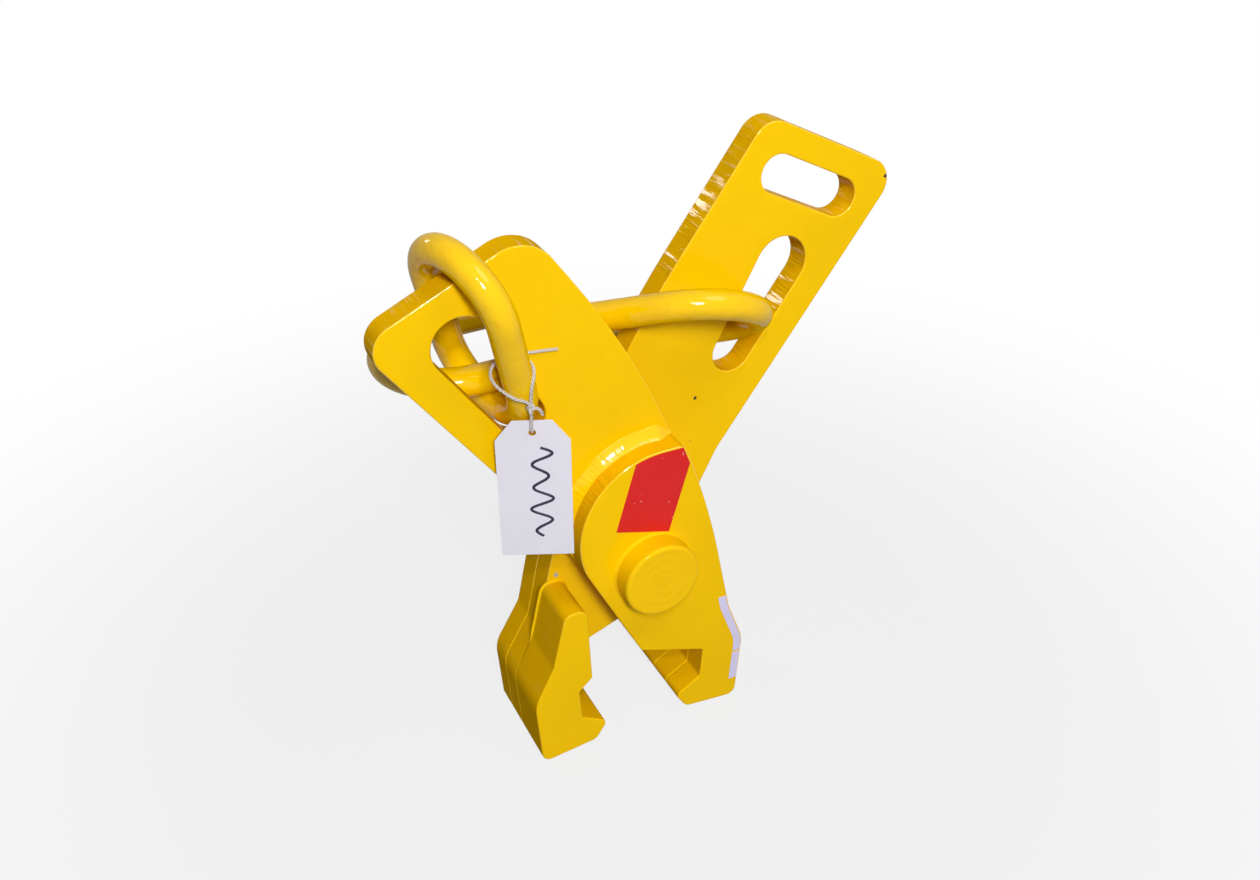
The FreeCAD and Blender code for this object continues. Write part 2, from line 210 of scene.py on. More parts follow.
# Strands of the string; then sizes for a string of radius 1: a strand's radius and its distance from the
# string's middle, the radius of the knot's bar, and the knot's scale along X, Y and Z
STRANDS = 2
STRAND_RADIUS = 0.56
STRAND_OFFSET = 0.48
KNOT_BAR = 0.72
KNOT_SCALE = (0.62, 0.9, 1.15)
# Steps round the knot and between two points of a route, and corners of the two tubes
KNOT_STEPS = 120
ROUTE_STEPS = 24
STRAND_CORNERS = 8
KNOT_CORNERS = 10

# Pen line: steps in a wave, share of the swing that is even, rate of the rest, lift and thickness
PEN_STEPS = 40
PEN_EVEN = 0.8
PEN_DRIFT = 3.1
PEN_LIFT = 0.02 * MM
PEN_THICKNESS = 0.05 * MM

# Lamps: place and diameter in metres, all aimed at one point
AIM = (0.0, 0.0, 0.28)
KEY_LAMP = ((-0.72, -2.8, 2.19), 0.72)
FLASH_LAMP = ((-0.72, -1.55, 1.85), 0.1)
TOP_LAMP = ((0.6, -0.9, 2.1), 1.0)
BACK_LAMP = ((-0.82, 1.33, 1.07), 0.3)
# Floor: half its width, and the distances over which it turns plain white
FLOOR_REACH = 6.0
WHITE_FROM = 0.3
WHITE_BEYOND = 1.1
WHITE = (1.0, 1.0, 1.0, 1.0)
# Camera: place from the pivot in millimetres, directions, focal length and image width in pixels,
# sensor width in millimetres, and the nearest distance that it sees in metres
CAMERA_PLACE = (-399.2, -800.0, 655.7)
CAMERA_RIGHT = (0.893, -0.450, 0.0)
CAMERA_AHEAD = (0.383, 0.761, -0.524)
FOCAL_PIXELS = 1200.0
IMAGE_PIXELS = 1260.0
SENSOR = 36.0
NEAREST = 0.01


class PaintSettings(bpy.types.PropertyGroup):
    """Yellow paint on the steel."""
    colour: FloatVectorProperty(name="Paint", description="Colour of the paint where it is thick",
                                subtype="COLOR", size=3, default=(0.86, 0.522, 0.0008), min=0, max=1)
    thin: FloatVectorProperty(name="Thin paint", description="Colour of the paint on cut edges",
                              subtype="COLOR", size=3, default=(0.78, 0.425, 0.0007), min=0, max=1)
    roughness: FloatProperty(name="Roughness", description="Roughness of the paint", default=0.22,
                             min=0, max=1)
    peel: FloatProperty(name="Orange peel", description="Size of the waves in the paint",
                        default=3.2 * MM, unit="LENGTH")
    cut_pitch: FloatProperty(name="Cut lines", description="Pitch of the flame-cut lines on edges",
                             default=3.4 * MM, unit="LENGTH")


class WeldSettings(bpy.types.PropertyGroup):
    """Fillet weld beads."""
    leg: FloatProperty(name="Leg", description="Width of a cheek's bead on each plate",
                       default=11.0 * MM, unit="LENGTH")
    jaw_leg: FloatProperty(name="Jaw leg", description="Width of a jaw block's bead",
                           default=2.2 * MM, unit="LENGTH")
    pitch: FloatProperty(name="Pitch", description="Length of one ripple", default=4.4 * MM, unit="LENGTH")
    ripple: FloatProperty(name="Ripple", description="Share of the width that ripples", default=0.035)


class TagSettings(bpy.types.PropertyGroup):
    """Card tag, its string and the stickers."""
    card: FloatVectorProperty(name="Card", description="Colour of the card", subtype="COLOR", size=3,
                              default=(0.73, 0.71, 0.79), min=0, max=1)
    red: FloatVectorProperty(name="Red film", description="Colour of the cheek's sticker",
                             subtype="COLOR", size=3, default=(0.66, 0.012, 0.012), min=0, max=1)
    pale: FloatVectorProperty(name="Pale film", description="Colour of the jaw's strips",
                              subtype="COLOR", size=3, default=(0.66, 0.62, 0.86), min=0, max=1)
    string: FloatVectorProperty(name="String", description="Colour of the string", subtype="COLOR", size=3,
                                default=(0.62, 0.58, 0.56), min=0, max=1)
    string_diameter: FloatProperty(name="String width", description="Diameter of the string",
                                   default=2.8 * MM, unit="LENGTH")
    lay: FloatProperty(name="Lay", description="Length of one twist of the string",
                       default=7.0 * MM, unit="LENGTH")
    pen_waves: IntProperty(name="Pen waves", description="Waves in the pen line on the card",
                           default=4, min=1)
    pen_start: FloatProperty(name="Pen start", description="From the card's hole to the pen line",
                             default=14.0 * MM, unit="LENGTH")
    pen_length: FloatProperty(name="Pen length", description="Length of the pen line",
                              default=86.0 * MM, unit="LENGTH")
    pen_swing: FloatProperty(name="Pen swing", description="Half the width of the waves",
                             default=9.5 * MM, unit="LENGTH")
    pen_aside: FloatProperty(name="Pen aside", description="From the card's hole to the waves' middle",
                             default=5.7 * MM, unit="LENGTH")
    pen_width: FloatProperty(name="Pen width", description="Width of the pen line",
                             default=2.5 * MM, unit="LENGTH")


class StageSettings(bpy.types.PropertyGroup):
    """Floor and lights."""
    floor: FloatVectorProperty(name="Floor", description="Colour of the floor", subtype="COLOR", size=3,
                               default=(0.28, 0.28, 0.28), min=0, max=1)
    world: FloatProperty(name="Sky", description="Strength of the light from all round",
                         default=0.045, min=0)
    key: FloatProperty(name="Key light", description="Power of the lamp above the camera",
                       default=93.0, unit="POWER")
    flash: FloatProperty(name="Flash", description="Power of the small lamp beside the camera",
                         default=10.0, unit="POWER")
    fill: FloatProperty(name="Top light", description="Power of the wide lamp overhead",
                        default=13.0, unit="POWER")
    back: FloatProperty(name="Back light", description="Power of the lamp behind",
                        default=3.0, unit="POWER")
    haze: FloatProperty(name="Floor white", description="Share of plain white seen in the floor by the tongs",
                        default=0.82, min=0, max=1)


class Net:
    """Builds nodes in a shader or geometry tree."""

    def __init__(self, tree):
        self.tree = tree

    def fill(self, node, values):
        """Links or sets the inputs of a node."""
        for socket, value in values.items():
            if isinstance(value, bpy.types.NodeSocket):
                self.tree.links.new(value, node.inputs[socket])
            else:
                node.inputs[socket].default_value = value

    def add(self, kind, values=None, **settings):
        node = self.tree.nodes.new(kind)
        for name, value in settings.items():
            setattr(node, name, value)
        self.fill(node, values or {})
        return node

    def place(self, build, values):
        """Outputs of a shared group, which its function builds on first use."""
        tree = bpy.data.node_groups.get(build.__name__) or build()
        return self.add("ShaderNodeGroup", values, node_tree=tree).outputs

    def math(self, operation, a, b=0.0, clamp=False):
        return self.add("ShaderNodeMath", {0: a, 1: b}, operation=operation, use_clamp=clamp).outputs[0]

    def vectors(self, operation, a, b=(0.0, 0.0, 0.0)):
        node = self.add("ShaderNodeVectorMath", {0: a, 1: b}, operation=operation)
        return node.outputs["Value" if operation in ("DISTANCE", "LENGTH") else "Vector"]

    def split(self, vector):
        return self.add("ShaderNodeSeparateXYZ", {0: vector}).outputs

    def spread(self, value, low, high, to_low=0.0, to_high=1.0):
        """Turns a value between two limits smoothly into one between two others."""
        return self.add("ShaderNodeMapRange", {0: value, 1: low, 2: high, 3: to_low, 4: to_high},
                        interpolation_type="SMOOTHSTEP").outputs[0]

    def mix(self, factor, a, b):
        return self.add("ShaderNodeMix", {0: factor, 6: a, 7: b}, data_type="RGBA").outputs[2]

    def noise(self, vector, scale, detail, roughness=0.5):
        return self.add("ShaderNodeTexNoise", {"Vector": vector, "Scale": scale, "Detail": detail,
                                               "Roughness": roughness}).outputs[0]


def group(name, inputs, outputs, kind="ShaderNodeTree"):
    """New node group: its net, what its inputs give, and the node that takes its outputs."""
    tree = bpy.data.node_groups.new(name, kind)
    for way, sockets in (("INPUT", inputs), ("OUTPUT", outputs)):
        for label, socket_type in sockets.items():
            tree.interface.new_socket(label, in_out=way, socket_type=socket_type)
    return Net(tree), tree.nodes.new("NodeGroupInput").outputs, tree.nodes.new("NodeGroupOutput")


def thick_paint():
    """Orange peel, runs and dull patches of brushed paint; the pitch is in metres."""
    net, source, sink = group("thick_paint", {"Vector": VECTOR, "Pitch": VALUE, "Roughness": VALUE},
                              {"Height": VALUE, "Roughness": VALUE, "Shade": VALUE})
    scale = net.math("DIVIDE", 1.0, source["Pitch"])
    fine = net.noise(source["Vector"], scale, 1.0)
    runs = net.noise(source["Vector"], net.math("MULTIPLY", scale, RUN_SHARE), 2.0)
    patches = net.noise(source["Vector"], net.math("MULTIPLY", scale, PATCH_SHARE), 3.0)
    height = net.math("ADD", net.math("MULTIPLY", fine, PEEL_HEIGHT), net.math("MULTIPLY", runs, RUN_HEIGHT))
    dull = net.spread(patches, 0.42, 0.72, 0.0, MOST_DULL)
    net.fill(sink, {"Height": height, "Roughness": net.math("ADD", source["Roughness"], dull),
                    "Shade": net.spread(patches, 0.3, 0.75)})
    return net.tree


def flame_cut():
    """Lines that a cutting flame leaves across the edges of a plate that lies across Y.

    The edges are ground smooth below a height. Gloss is a mask of the lines' crests, and Rim one of
    the rounding between edge and face.
    """
    net, source, sink = group("flame_cut", {"Vector": VECTOR, "Normal": VECTOR, "Pitch": VALUE,
                                            "Ground": VALUE},
                              {"Height": VALUE, "Edge": VALUE, "Gloss": VALUE, "Rim": VALUE})
    across = net.math("ABSOLUTE", net.split(source["Normal"])[1])
    edge = net.spread(across, 0.25, 0.75, 1.0, 0.0)
    scale = net.math("DIVIDE", 1.0, source["Pitch"])
    lines = net.noise(net.vectors("MULTIPLY", source["Vector"], CUT_STRETCH), scale, 3.0, 0.62)
    patches = net.noise(source["Vector"], CUT_PATCHES, 1.0)
    above = net.math("SUBTRACT", net.split(source["Vector"])[2], source["Ground"])
    strength = net.spread(patches, 0.36, 0.62, 0.25, 1.0)
    strength = net.math("MULTIPLY", strength, net.spread(above, 0.0, GRIND_FADE, 0.1, 1.0))
    strength = net.math("MULTIPLY", strength, edge)
    crests = net.math("MULTIPLY", net.spread(lines, 0.53, 0.63), strength)
    rim = net.math("MULTIPLY", net.spread(across, 0.1, 0.35), net.spread(across, 0.75, 0.97, 1.0, 0.0))
    rim = net.math("MULTIPLY", rim, net.spread(above, -GRIND_FADE, 0.0, 0.12, 1.0))
    net.fill(sink, {"Height": net.math("MULTIPLY", lines, strength), "Edge": edge, "Gloss": crests,
                    "Rim": rim})
    return net.tree


def paint_chip():
    """Mask of one ragged spot where paint is knocked off."""
    net, source, sink = group("paint_chip", {"Vector": VECTOR, "Place": VECTOR, "Radius": VALUE},
                              {"Mask": VALUE})
    away = net.vectors("DISTANCE", source["Vector"], source["Place"])
    rags = net.math("SUBTRACT", net.noise(source["Vector"], CHIP_RAGS, 3.0), 0.5)
    share = net.math("ADD", net.math("DIVIDE", away, source["Radius"]),
                     net.math("MULTIPLY", rags, CHIP_RAGGED))
    net.fill(sink, {"Mask": net.spread(share, 0.85, 1.0, 1.0, 0.0)})
    return net.tree


def start_material(name):
    """New material: its net, its shader and its texture coordinates."""
    material = bpy.data.materials.new(name)
    material.use_nodes = True
    net = Net(material.node_tree)
    return material, net, net.tree.nodes["Principled BSDF"], net.add("ShaderNodeTexCoord").outputs


def bump(net, shader, height, relief, before=None):
    """Bumps of a depth and strength on a shader, over those that it had before."""
    depth, strength = relief
    values = {"Height": height, "Distance": depth, "Strength": strength}
    if before is not None:
        values["Normal"] = before
    normal = net.add("ShaderNodeBump", values).outputs["Normal"]
    net.fill(shader, {"Normal": normal})
    return normal


def rgba(colour, share=1.0):
    return (*(part * share for part in colour), 1.0)


def paint_material(name, cut=False, chips=(), relief=None, shine=PLATE_SHINE):
    """Yellow paint over steel, whose gloss comes from its coat alone.

    A cut plate has flame-cut edges, with gloss on their lines and rims only. Chips are (place, radius,
    colour) spots, relief is a function that adds its own bumps, and shine is the weight of the gloss.
    """
    settings = bpy.context.scene.tongs_paint
    material, net, shader, where = start_material(name)
    vector = where["Object"]
    paint = net.place(thick_paint, {"Vector": vector, "Pitch": settings.peel,
                                    "Roughness": settings.roughness})
    tone = net.mix(paint["Shade"], rgba(settings.colour), rgba(settings.colour, PAINT_DARK))
    rough = paint["Roughness"]
    normal = bump(net, shader, paint["Height"], PEEL_BUMP)
    net.fill(shader, {"Coat Weight": shine, "Coat Roughness": GLOSS_ROUGHNESS, "IOR": 1.0})
    if cut:
        edges = net.place(flame_cut, {"Vector": vector, "Normal": where["Normal"],
                                      "Pitch": settings.cut_pitch, "Ground": pivot.z})
        tone = net.mix(edges["Edge"], tone, rgba(settings.thin))
        normal = bump(net, shader, edges["Height"], CUT_BUMP, normal)
        face = net.math("SUBTRACT", 1.0, edges["Edge"])
        gloss = net.math("ADD", net.math("MULTIPLY", edges["Gloss"], LINE_SHINE),
                         net.math("MULTIPLY", face, shine))
        net.fill(shader, {"Coat Weight": net.math("MAXIMUM", gloss, edges["Rim"])})
    if relief is not None:
        relief(net, shader, vector, normal)
    for place, radius, below in chips:
        spot = net.place(paint_chip, {"Vector": vector, "Place": place, "Radius": radius})["Mask"]
        tone = net.mix(spot, tone, rgba(below))
        rough = net.math("MAXIMUM", rough, net.math("MULTIPLY", spot, CHIP_ROUGHNESS))
    net.fill(shader, {"Base Color": tone, "Roughness": rough})
    return material


def dress(name, material):
    """Gives a solid its finish."""
    mesh = nodes[name].data
    mesh.materials.clear()
    mesh.materials.append(material)


def from_pivot(place):
    return pivot + Vector(place) * MM


def as_mesh(bm, name):
    mesh = bpy.data.meshes.new(name)
    bm.to_mesh(mesh)
    bm.free()
    return mesh


def add_piece(name, mesh, material, body):
    """New smooth-shaded piece that moves with a body."""
    piece = bpy.data.objects.new(name, mesh)
    bpy.context.scene.collection.objects.link(piece)
    mesh.materials.clear()
    mesh.materials.append(material)
    for polygon in mesh.polygons:
        polygon.use_smooth = True
    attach(piece, body)
    return piece


def curve_through(name, points, kind):
    """Curve object at the origin, of one open spline with these points."""
    data = bpy.data.curves.new(name, "CURVE")
    data.dimensions = "3D"
    run = data.splines.new(kind)
    run.points.add(len(points) - 1)
    for spot, point in zip(run.points, points):
        spot.co = (*point, 1.0)
    thing = bpy.data.objects.new(name, data)
    bpy.context.scene.collection.objects.link(thing)
    return thing


def baked(curve):
    """Plain mesh of an evaluated curve object, which is then removed."""
    bpy.context.view_layer.update()
    seen = curve.evaluated_get(bpy.context.evaluated_depsgraph_get())
    mesh = bpy.data.meshes.new_from_object(seen)
    data = curve.data
    bpy.data.objects.remove(curve)
    bpy.data.curves.remove(data)
    return mesh


def weld_bead():
    """Geometry nodes: a hollow-faced fillet bead along a curve in a plate's plane, rippled at a pitch."""
    net, source, sink = group("weld_bead", {"Path": SHAPE, "Leg": VALUE, "Pitch": VALUE, "Ripple": VALUE,
                                            "Toward": VALUE, "Finish": "NodeSocketMaterial"},
                              {"Bead": SHAPE}, "GeometryNodeTree")
    path = net.add("GeometryNodeResampleCurve", {"Curve": source["Path"], "Length": BEAD_STEP}, mode="LENGTH")
    along = net.add("GeometryNodeSplineParameter").outputs
    turn = net.math("MULTIPLY", net.math("DIVIDE", along["Length"], source["Pitch"]), math.pi)
    wave = net.math("ABSOLUTE", net.math("SINE", turn))
    place = net.add("GeometryNodeInputPosition").outputs[0]
    lump = net.math("SUBTRACT", net.noise(place, BEAD_LUMPS, 2.0), 0.5)
    uneven = net.math("ADD", net.math("MULTIPLY", wave, source["Ripple"]),
                      net.math("MULTIPLY", lump, BEAD_UNEVEN))
    nearest = net.math("MINIMUM", along["Factor"], net.math("SUBTRACT", 1.0, along["Factor"]))
    taper = net.spread(nearest, 0.0, BEAD_TAPER, BEAD_END, 1.0)
    full = net.math("MULTIPLY", net.math("ADD", uneven, 1.0), source["Leg"])
    out = net.add("ShaderNodeCombineXYZ", {1: source["Toward"]})
    stood = net.add("GeometryNodeSetCurveNormal", {"Curve": path.outputs[0], "Normal": out.outputs[0]},
                    mode="FREE")
    sized = net.add("GeometryNodeSetCurveRadius", {"Curve": stood.outputs[0],
                                                   "Radius": net.math("MULTIPLY", full, taper)})
    face = net.add("GeometryNodeCurveQuadraticBezier", {"Resolution": BEAD_FACE_STEPS, "Start": TOE,
                                                        "Middle": HOLLOW, "End": CREST})
    root = net.add("GeometryNodeCurvePrimitiveLine", {"Start": CREST, "End": ROOT})
    section = net.add("GeometryNodeJoinGeometry")
    for part in (root, face):
        net.fill(section, {0: part.outputs[0]})
    radius = net.add("GeometryNodeInputRadius").outputs[0]
    tube = net.add("GeometryNodeCurveToMesh", {"Curve": sized.outputs[0], "Profile Curve": section.outputs[0],
                                               "Scale": radius})
    whole = net.add("GeometryNodeRealizeInstances", {0: tube.outputs[0]})
    done = net.add("GeometryNodeSetMaterial", {"Geometry": whole.outputs[0], "Material": source["Finish"]})
    net.fill(sink, {"Bead": done.outputs[0]})
    return net.tree


def bead_mesh(path, values):
    """Closed mesh of a weld bead along a curve object, which is then removed."""
    tree = bpy.data.node_groups.get("weld_bead") or weld_bead()
    modifier = path.modifiers.new(tree.name, "NODES")
    modifier.node_group = tree
    for item in tree.interface.items_tree:
        if item.in_out == "INPUT" and item.name in values:
            modifier[item.identifier] = values[item.name]
    mesh = baked(path)
    bm = bmesh.new()
    bm.from_mesh(mesh)
    bmesh.ops.remove_doubles(bm, verts=bm.verts, dist=SEAM)
    bmesh.ops.holes_fill(bm, edges=[e for e in bm.edges if e.is_boundary], sides=BEAD_END_CORNERS)
    bmesh.ops.recalc_face_normals(bm, faces=bm.faces)
    bm.to_mesh(mesh)
    bm.free()
    return mesh


def weld_path(name, toward):
    """Line of a fillet weld's root, read from the crest of its solid on the upright plate."""
    low, high = (Vector(corner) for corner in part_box(name))
    crest = low.y if toward < 0 else high.y
    foot = high.y if toward < 0 else low.y
    edge = [v.co.copy() for v in nodes[name].data.vertices if abs(v.co.y - crest) < ON_LEVEL]
    middle = (low + high) / 2
    if "cheek" in name:
        edge = [point for point in edge if point.z > pivot.z + CHEEK_BEAD_FROM]
        middle = pivot
    by_angle = {}
    for point in edge:
        angle = math.atan2(point.x - middle.x, point.z - middle.z)
        by_angle[round(angle, 3)] = point
    line = [by_angle[angle] for angle in sorted(by_angle)]
    gaps = [(line[i] - line[i - 1]).length for i in range(len(line))]
    first = gaps.index(max(gaps))
    line = line[first:] + line[:first]
    if toward < 0:
        line.reverse()
    return [Vector((p.x, foot, p.z)) for p in line]


class TONGS_OT_plates(bpy.types.Operator):
    """Paint the arms, cheeks and jaw blocks"""
    bl_idname = "tongs.plates"
    bl_label = "Painted plates"

    def execute(self, context):
        chips = [(from_pivot(place), radius * MM, below) for place, radius, below in CHIPS]
        for name in PLATES:
            dress(name, paint_material("paint_" + name, True, chips if name == CHIPPED else ()))
        return {"FINISHED"}


class TONGS_OT_welds(bpy.types.Operator):
    """Lay rippled beads over the welds' solids"""
    bl_idname = "tongs.welds"
    bl_label = "Weld beads"

    def execute(self, context):
        settings = context.scene.tongs_weld

        def lumps(net, shader, vector, normal):
            bump(net, shader, net.noise(vector, WELD_LUMPS, 2.0), LUMP_BUMP, normal)

        lumpy = paint_material("paint_welds", relief=lumps, shine=WELD_SHINE)
        brushed = paint_material("paint_jaw_welds")
        for name, (body, toward) in WELDS.items():
            path = curve_through(name + "_path", weld_path(name, toward), "POLY")
            leg, finish = (settings.leg, lumpy) if "cheek" in name else (settings.jaw_leg, brushed)
            mesh = bead_mesh(path, {"Leg": leg, "Pitch": settings.pitch, "Ripple": settings.ripple,
                                    "Toward": float(toward), "Finish": finish})
            piece = add_piece(name + "_bead", mesh, finish, body)
            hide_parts(name)
        dress("pin_weld", brushed)
        return {"FINISHED"}


class TONGS_OT_bars(bpy.types.Operator):
    """Paint the ring and the links, with the dents of forged bar"""
    bl_idname = "tongs.bars"
    bl_label = "Ring and links"

    def execute(self, context):
        def dents(net, shader, vector, normal):
            bump(net, shader, net.noise(vector, BAR_DENTS, 1.0), DENT_BUMP, normal)

        finish = paint_material("paint_bar", relief=dents, shine=BAR_SHINE)
        for name in BARS:
            dress(name, finish)
        return {"FINISHED"}


class TONGS_OT_pivot(bpy.types.Operator):
    """Finish the pin, its collar, the cross pin and the bush"""
    bl_idname = "tongs.pivot"
    bl_label = "Pivot"

    def execute(self, context):
        def rings(net, shader, vector, normal):
            """Rings that a lathe leaves, broken up by brush strokes."""
            flat = net.vectors("MULTIPLY", net.vectors("SUBTRACT", vector, pivot), (1.0, 0.0, 1.0))
            away = net.vectors("LENGTH", flat)
            strokes = net.noise(flat, PIN_STROKES, 2.0)
            turn = net.math("ADD", net.math("MULTIPLY", away, RING_TURN),
                            net.math("MULTIPLY", strokes, RING_WANDER))
            bump(net, shader, net.math("SINE", turn), RING_BUMP, normal)

        finish = paint_material("paint_pin", relief=rings, shine=PIN_SHINE)
        for name in TURNED:
            dress(name, finish)
        for name, (colour, rough) in METALS.items():
            material, net, shader, where = start_material("bare_" + name)
            drawn = net.vectors("MULTIPLY", where["Object"], METAL_STRETCH)
            scratches = net.noise(drawn, METAL_SCRATCHES, 2.0)
            tone = net.mix(scratches, rgba(colour), rgba(colour, METAL_DARK))
            net.fill(shader, {"Base Color": tone, "Metallic": 1.0,
                              "Roughness": net.spread(scratches, 0.2, 0.8, rough, rough + METAL_WEAR)})
            bump(net, shader, scratches, SCRATCH_BUMP)
            dress(name, material)
        return {"FINISHED"}


class TONGS_OT_stickers(bpy.types.Operator):
    """Finish the red sticker and the pale strips"""
    bl_idname = "tongs.stickers"
    bl_label = "Stickers"

    def execute(self, context):
        settings = context.scene.tongs_tag
        for name, (setting, level) in FILMS.items():
            colour = getattr(settings, setting)
            material, net, shader, where = start_material("film_" + name)
            vector = where["Object"]
            specks = net.spread(net.noise(vector, FILM_SPECKS, 1.0), level, level + SPECK_FADE)
            tone = net.mix(net.noise(vector, FILM_CLOUDS, 3.0), rgba(colour), rgba(colour, FILM_DARK))
            dulling = net.noise(vector, FILM_DULLING, 2.0)
            net.fill(shader, {"Base Color": net.mix(specks, tone, rgba(SPECK)),
                              "Roughness": net.spread(dulling, 0.3, 0.7, *FILM_ROUGHNESS),
                              "Specular IOR Level": FILM_SPECULAR})
            bump(net, shader, net.noise(vector, FILM_WAVES, 2.0), FILM_BUMP)
            dress(name, material)
        return {"FINISHED"}


def skin(bm, sections):
    """Walls from section to section and a face over each end, all turned outwards."""
    sides = len(sections[0])
    for first, second in zip(sections, sections[1:]):
        for corner in range(sides):
            after = (corner + 1) % sides
            bm.faces.new((first[corner], first[after], second[after], second[corner]))
    bm.faces.new(list(reversed(sections[0])))
    bm.faces.new(sections[-1])
    bmesh.ops.recalc_face_normals(bm, faces=bm.faces)


def pen_line(settings):
    """Plain wavy pen stroke down the card, as a thin ribbon on its face."""
    card = nodes["tag"].data
    face = max(card.polygons, key=lambda polygon: polygon.area)
    out = face.normal.copy() if face.normal.y < 0 else -face.normal
    level = max((v.co - tag_hole).dot(out) for v in card.vertices)
    across = Vector((-out.y, out.x, 0.0)).normalized()
    down = across.cross(out).normalized()
    down = down if down.z < 0 else -down
    steps = PEN_STEPS * settings.pen_waves
    line = []
    for step in range(steps + 1):
        share = step / steps
        turn = 2 * math.pi * settings.pen_waves * share
        width = PEN_EVEN + (1 - PEN_EVEN) * math.cos(PEN_DRIFT * share * math.pi)
        aside = settings.pen_aside + settings.pen_swing * width * math.sin(turn)
        drop = settings.pen_start + settings.pen_length * share
        line.append(tag_hole + out * (level + PEN_LIFT) + across * aside + down * drop)
    bm = bmesh.new()
    sections = []
    for index, point in enumerate(line):
        ahead = (line[min(index + 1, steps)] - line[max(index - 1, 0)]).normalized()
        side = ahead.cross(out) * settings.pen_width / 2
        top = out * PEN_THICKNESS
        corners = (point + side, point - side, point - side + top, point + side + top)
        sections.append([bm.verts.new(corner) for corner in corners])
    skin(bm, sections)
    return as_mesh(bm, "pen_line")


class TONGS_OT_tag(bpy.types.Operator):
    """Finish the card and draw a pen line on it"""
    bl_idname = "tongs.tag"
    bl_label = "Tag"

    def execute(self, context):
        settings = context.scene.tongs_tag
        material, net, shader, where = start_material("card")
        vector = where["Object"]
        fibres = net.noise(net.vectors("MULTIPLY", vector, CARD_STRETCH), CARD_FIBRES, 4.0)
        clouds = net.noise(vector, CARD_CLOUDS, 3.0)
        tone = net.mix(clouds, rgba(settings.card), rgba(settings.card, CARD_DARK))
        tone = net.mix(net.spread(fibres, 0.35, 0.65, 0.0, 0.12), tone, rgba(settings.card, FIBRE_DARK))
        net.fill(shader, {"Base Color": tone, "Roughness": net.spread(fibres, 0.3, 0.7, *CARD_ROUGHNESS),
                          "Specular IOR Level": CARD_SPECULAR})
        bump(net, shader, fibres, CARD_BUMP)
        dress("tag", material)

        ink, net, shader, where = start_material("pen_ink")
        fade = net.noise(where["Object"], INK_FADE, 3.0)
        net.fill(shader, {"Base Color": net.mix(fade, rgba(INK_THICK), rgba(INK_THIN)),
                          "Roughness": net.spread(fade, 0.3, 0.7, *INK_ROUGHNESS)})
        bump(net, shader, fade, INK_BUMP)
        add_piece("pen_line", pen_line(settings), ink, "tag")
        return {"FINISHED"}


def smooth_line(route):
    """Points of the smooth line that a cord takes along its route."""
    curve = curve_through("route", route, "NURBS")
    run = curve.data.splines[0]
    run.order_u = 3
    run.use_endpoint_u = True
    curve.data.resolution_u = ROUTE_STEPS
    line = baked(curve)
    points = [v.co.copy() for v in line.vertices]
    bpy.data.meshes.remove(line)
    return points


def sides_along(points):
    """Two directions across a line at each of its points, carried along it without twist."""
    up = Vector((0.0, 0.0, 1.0))
    for index in range(len(points)):
        ahead = points[min(index + 1, len(points) - 1)] - points[max(index - 1, 0)]
        ahead.normalize()
        side = ahead.cross(up)
        # Where the line turns along the direction that is carried, X takes its place
        if side.length < 0.1:
            side = ahead.cross(Vector((1.0, 0.0, 0.0)))
        side.normalize()
        up = side.cross(ahead).normalized()
        yield side, up


def tube_along(bm, centres, radius, corners):
    """Closed tube along points, with flat ends."""
    turns = [2 * math.pi * corner / corners for corner in range(corners)]
    sections = []
    for centre, (side, up) in zip(centres, sides_along(centres)):
        sections.append([bm.verts.new(centre + (side * math.cos(turn) + up * math.sin(turn)) * radius)
                         for turn in turns])
    skin(bm, sections)


def twist_along(bm, points, radius, lay):
    """Twisted strands of a string that follows points."""
    for strand in range(STRANDS):
        centres = []
        travelled = 0.0
        last = points[0]
        for point, (side, up) in zip(points, sides_along(points)):
            travelled += (point - last).length
            last = point
            turn = 2 * math.pi * (travelled / lay + strand / STRANDS)
            out = side * math.cos(turn) + up * math.sin(turn)
            centres.append(point + out * radius * STRAND_OFFSET)
        tube_along(bm, centres, radius * STRAND_RADIUS, STRAND_CORNERS)


def knot_mesh(radius, lay):
    """Small overhand knot round the string, with its two ends."""
    bm = bmesh.new()
    wide, deep, high = KNOT_SCALE
    centres = []
    for step in range(KNOT_STEPS + 1):
        turn = 2 * math.pi * step / KNOT_STEPS
        x = math.sin(turn) + 2 * math.sin(2 * turn)
        y = -math.sin(3 * turn)
        z = math.cos(turn) - 2 * math.cos(2 * turn)
        centres.append(from_pivot(KNOT) + Vector((x * wide, y * deep, z * high)) * radius)
    tube_along(bm, centres, radius * KNOT_BAR, KNOT_CORNERS)
    for route in (KNOT_LEG, KNOT_TAIL):
        twist_along(bm, smooth_line([from_pivot(point) for point in route]), radius, lay)
    return as_mesh(bm, "string_knot")


